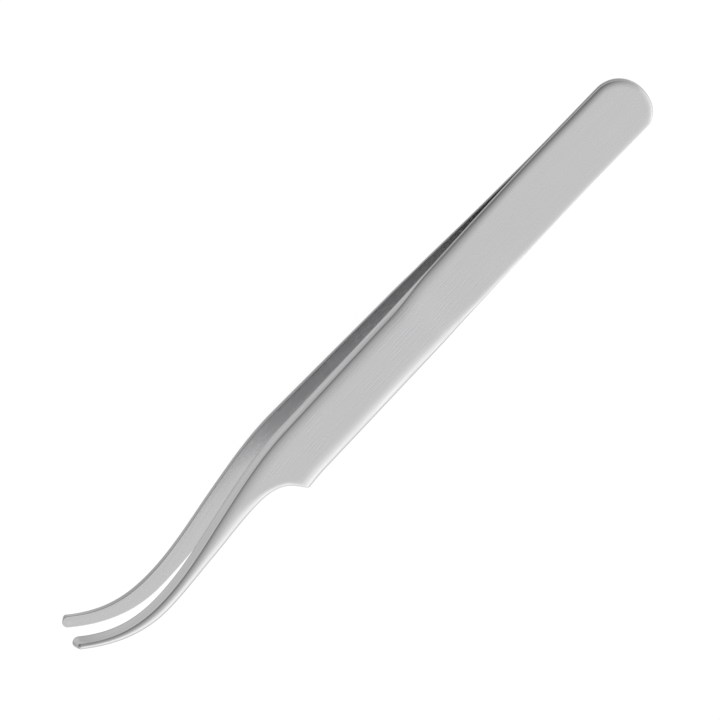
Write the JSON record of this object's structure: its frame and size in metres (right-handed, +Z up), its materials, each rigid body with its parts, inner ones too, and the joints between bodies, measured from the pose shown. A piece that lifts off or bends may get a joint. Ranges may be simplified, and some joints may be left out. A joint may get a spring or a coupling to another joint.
{
  "type": "curved precision tweezers",
  "caption": "Slim steel tweezers with a flat handle that bows open from a welded tail, a notched neck and fine rounded tips swept to one side.",
  "frame": {"origin": "on the flat outer grip face that the tweezers lie on, half-way across the handle, 64 mm from the tail", "axes": "+X runs from the tail to the tips, +Y points to the notched edge, +Z is up, away from the rest face"},
  "size_m": [0.1201, 0.011, 0.0122],
  "materials": {
    "satin_steel": "satin ground stainless steel with softly polished edges",
    "weld_steel": "fused weld metal, hidden between the tails"
  },
  "bodies": {
    "tail": {"upper_tail": "satin_steel", "lower_tail": "satin_steel", "weld_nuggets": "weld_steel"},
    "upper_arm": {"upper_arm": "satin_steel"},
    "lower_arm": {"lower_arm": "satin_steel"}
  },
  "joints": [
    {"name": "upper_arm_flex", "type": "hinge", "parent": "tail", "child": "upper_arm", "pos_m": [-0.03917, 0, 0.00285], "axis": [0, 1, 0], "range_deg": [0, 2.25], "stiffness_Nm_per_rad": 3},
    {"name": "lower_arm_flex", "type": "hinge", "parent": "tail", "child": "lower_arm", "pos_m": [-0.03911, 0, 0.00152], "axis": [0, -1, 0], "range_deg": [0, 2.25], "stiffness_Nm_per_rad": 3}
  ]
}
